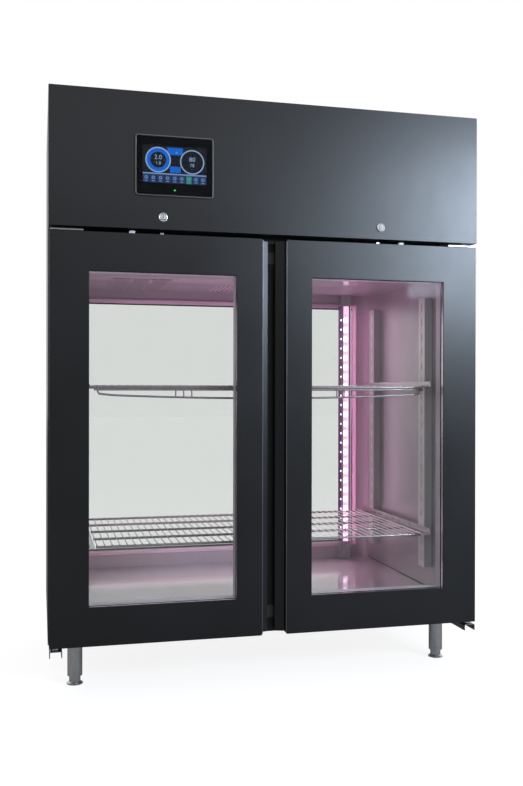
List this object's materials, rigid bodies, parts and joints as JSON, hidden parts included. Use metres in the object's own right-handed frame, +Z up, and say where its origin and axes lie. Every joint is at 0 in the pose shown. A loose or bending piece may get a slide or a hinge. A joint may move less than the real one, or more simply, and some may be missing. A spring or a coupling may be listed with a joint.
{
  "type": "dry aging cabinet",
  "caption": "Upright refrigerated dry aging cabinet: glazed double doors below a control header, wire shelves, glazed rear wall, cooling plant on top and levelling feet.",
  "frame": {"origin": "on the floor, at the middle of the cabinet's bounding box in width and depth", "axes": "+Z up; -Y towards the doors, so the display and the locks face -Y; +X to the right as someone facing the doors sees it"},
  "size_m": [1.5, 0.908, 1.971],
  "materials": {
    "black_paint": "satin",
    "black_sheet": "satin",
    "plant_black": "satin",
    "stainless": "satin",
    "bright_liner": "gloss",
    "zinc": "satin",
    "aluminium": "satin",
    "chrome": "polished",
    "grey_plastic": "satin",
    "dark_plastic": "satin",
    "rubber": "matte",
    "foam": "matte",
    "glass": "gloss",
    "screen_glass": "gloss",
    "light": "gloss",
    "copper": "satin"
  },
  "bodies": {
    "cabinet": {"base_tray": "stainless", "left_side_casing": "black_paint", "right_side_casing": "black_paint", "rear_casing": "black_sheet", "insulation_foam": "foam", "inner_liner": "bright_liner", "front_frame": "black_sheet", "centre_mullion": "black_sheet", "rear_glazing": "glass", "plant_deck": "zinc", "header_panel": "black_paint", "top_cover": "black_sheet", "rear_grille": "black_sheet", "display_housing": "dark_plastic", "display_glass": "screen_glass", "compressor": "plant_black", "condenser": "aluminium", "condenser_fan_frame": "dark_plastic", "evaporator_case": "stainless", "evaporator_cooler": "aluminium", "suction_pipe": "copper", "discharge_pipe": "copper", "liquid_pipe": "copper", "power_inlet": "dark_plastic", "led_profile": "aluminium", "led_strip": "light", "front_left_standard": "stainless", "front_right_standard": "stainless", "rear_left_standard": "stainless", "rear_right_standard": "stainless", "lower_left_shelf_rail": "stainless", "lower_right_shelf_rail": "stainless", "upper_left_shelf_rail": "stainless", "upper_right_shelf_rail": "stainless", "lower_wire_shelf": "chrome", "upper_wire_shelf": "chrome", "left_lock_housing": "chrome", "right_lock_housing": "chrome", "left_top_hinge_bracket": "zinc", "right_top_hinge_bracket": "zinc", "left_bottom_hinge_arm": "zinc", "right_bottom_hinge_arm": "zinc"},
    "left_door": {"left_door_frame": "black_paint", "left_door_inner_frame": "grey_plastic", "left_door_glazing": "glass", "left_door_gasket": "rubber", "left_lock_keeper": "zinc"},
    "right_door": {"right_door_frame": "black_paint", "right_door_inner_frame": "grey_plastic", "right_door_glazing": "glass", "right_door_gasket": "rubber", "right_lock_keeper": "zinc"},
    "left_lock": {"left_lock_plug": "chrome"},
    "right_lock": {"right_lock_plug": "chrome"},
    "condenser_rotor": {"condenser_fan": "grey_plastic"},
    "evaporator_rotor": {"evaporator_fan": "grey_plastic"},
    "front_left_foot": {"front_left_levelling_foot": "stainless"},
    "front_right_foot": {"front_right_levelling_foot": "stainless"},
    "rear_left_foot": {"rear_left_levelling_foot": "stainless"},
    "rear_right_foot": {"rear_right_levelling_foot": "stainless"}
  },
  "joints": [
    {"name": "left_door_swing", "type": "hinge", "parent": "cabinet", "child": "left_door", "pos_m": [-0.7255, -0.421, 0.16], "axis": [0, 0, 1], "range_deg": [-110, 0]},
    {"name": "right_door_swing", "type": "hinge", "parent": "cabinet", "child": "right_door", "pos_m": [0.7255, -0.421, 0.16], "axis": [0, 0, 1], "range_deg": [0, 110]},
    {"name": "left_lock_turn", "type": "hinge", "parent": "cabinet", "child": "left_lock", "pos_m": [-0.382, -0.446, 1.561], "axis": [0, 1, 0], "range_deg": [0, 90]},
    {"name": "right_lock_turn", "type": "hinge", "parent": "cabinet", "child": "right_lock", "pos_m": [0.382, -0.446, 1.561], "axis": [0, 1, 0], "range_deg": [-90, 0]},
    {"name": "condenser_fan_spin", "type": "hinge", "parent": "cabinet", "child": "condenser_rotor", "pos_m": [0.11, 0.3177, 1.6563], "axis": [0, 1, 0], "continuous": true},
    {"name": "evaporator_fan_spin", "type": "hinge", "parent": "cabinet", "child": "evaporator_rotor", "pos_m": [-0.4, 0.1833, 1.6513], "axis": [0, 1, 0], "continuous": true},
    {"name": "front_left_foot_screw", "type": "slide", "parent": "cabinet", "child": "front_left_foot", "axis": [0, 0, -1], "range_m": [0, 0.04]},
    {"name": "front_right_foot_screw", "type": "slide", "parent": "cabinet", "child": "front_right_foot", "axis": [0, 0, -1], "range_m": [0, 0.04]},
    {"name": "rear_left_foot_screw", "type": "slide", "parent": "cabinet", "child": "rear_left_foot", "axis": [0, 0, -1], "range_m": [0, 0.04]},
    {"name": "rear_right_foot_screw", "type": "slide", "parent": "cabinet", "child": "rear_right_foot", "axis": [0, 0, -1], "range_m": [0, 0.04]}
  ]
}
